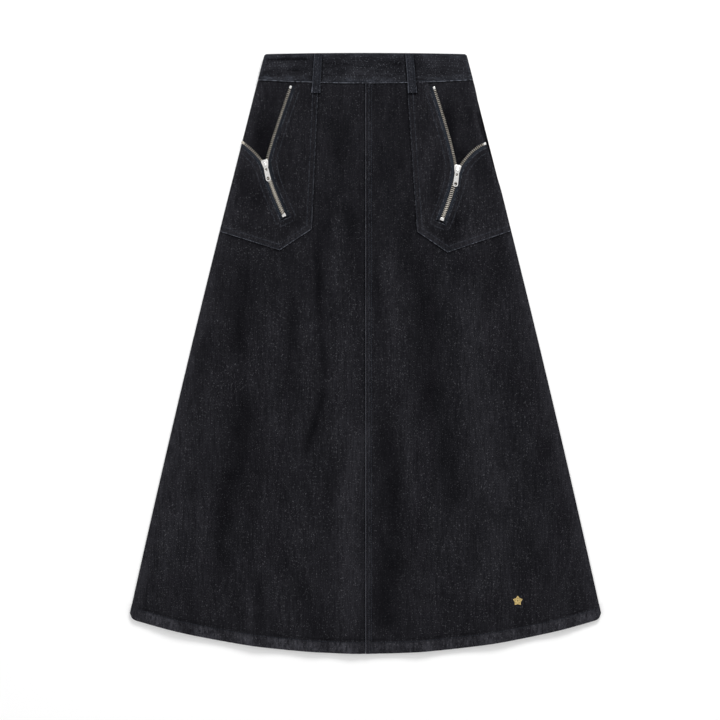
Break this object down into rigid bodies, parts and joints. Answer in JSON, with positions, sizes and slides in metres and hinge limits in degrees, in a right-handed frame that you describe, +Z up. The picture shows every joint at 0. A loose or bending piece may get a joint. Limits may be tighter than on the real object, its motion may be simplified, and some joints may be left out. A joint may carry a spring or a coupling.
{
  "type": "denim skirt",
  "caption": "A-line denim skirt laid flat with its front up: gored front and back, waistband with belt loops, patch pockets with slanted half-open metal zips.",
  "frame": {"origin": "centre of the outline, on the surface that the skirt lies on", "axes": "+X to the wearer's left (the picture's right), +Y up the skirt to the waist, +Z up from the surface, out of the front"},
  "size_m": [0.7352, 0.937, 0.0107],
  "materials": {
    "denim": "matt near-black indigo twill with worn, paler edges",
    "zip_tape": "matt dark blue woven tape",
    "zip_teeth": "slightly warm bright metal",
    "zip_metal": "bright nickel"
  },
  "bodies": {
    "skirt": {"front_gore_right": "denim", "front_gore_left": "denim", "back_gore_right": "denim", "back_gore_left": "denim", "waistband_front": "denim", "waistband_back": "denim", "belt_loop_front_right": "denim", "belt_loop_front_left": "denim", "belt_loop_back_right": "denim", "belt_loop_back_centre": "denim", "belt_loop_back_left": "denim", "side_zip_tape": "zip_tape", "pocket_right": "denim", "pocket_left": "denim", "zip_tape_inner_right": "zip_tape", "zip_tape_outer_right": "zip_tape", "zip_tape_inner_left": "zip_tape", "zip_tape_outer_left": "zip_tape", "zip_teeth_inner_right": "zip_teeth", "zip_teeth_outer_right": "zip_teeth", "zip_teeth_closed_right": "zip_teeth", "zip_teeth_inner_left": "zip_teeth", "zip_teeth_outer_left": "zip_teeth", "zip_teeth_closed_left": "zip_teeth", "zip_stop_inner_right": "zip_metal", "zip_stop_outer_right": "zip_metal", "zip_stop_closed_right": "zip_metal", "zip_stop_inner_left": "zip_metal", "zip_stop_outer_left": "zip_metal", "zip_stop_closed_left": "zip_metal", "zip_slider_right": "zip_metal", "zip_slider_left": "zip_metal"},
    "pull_right": {"zip_pull_right": "zip_metal"},
    "pull_left": {"zip_pull_left": "zip_metal"}
  },
  "joints": [
    {"name": "pull_right_swing", "type": "hinge", "parent": "skirt", "child": "pull_right", "pos_m": [-0.15625, 0.29423, 0.00872], "axis": [-0.9781, -0.2079, 0], "range_deg": [0, 150]},
    {"name": "pull_left_swing", "type": "hinge", "parent": "skirt", "child": "pull_left", "pos_m": [0.14315, 0.28621, 0.00876], "axis": [-0.9925, 0.1219, 0], "range_deg": [0, 150]}
  ]
}
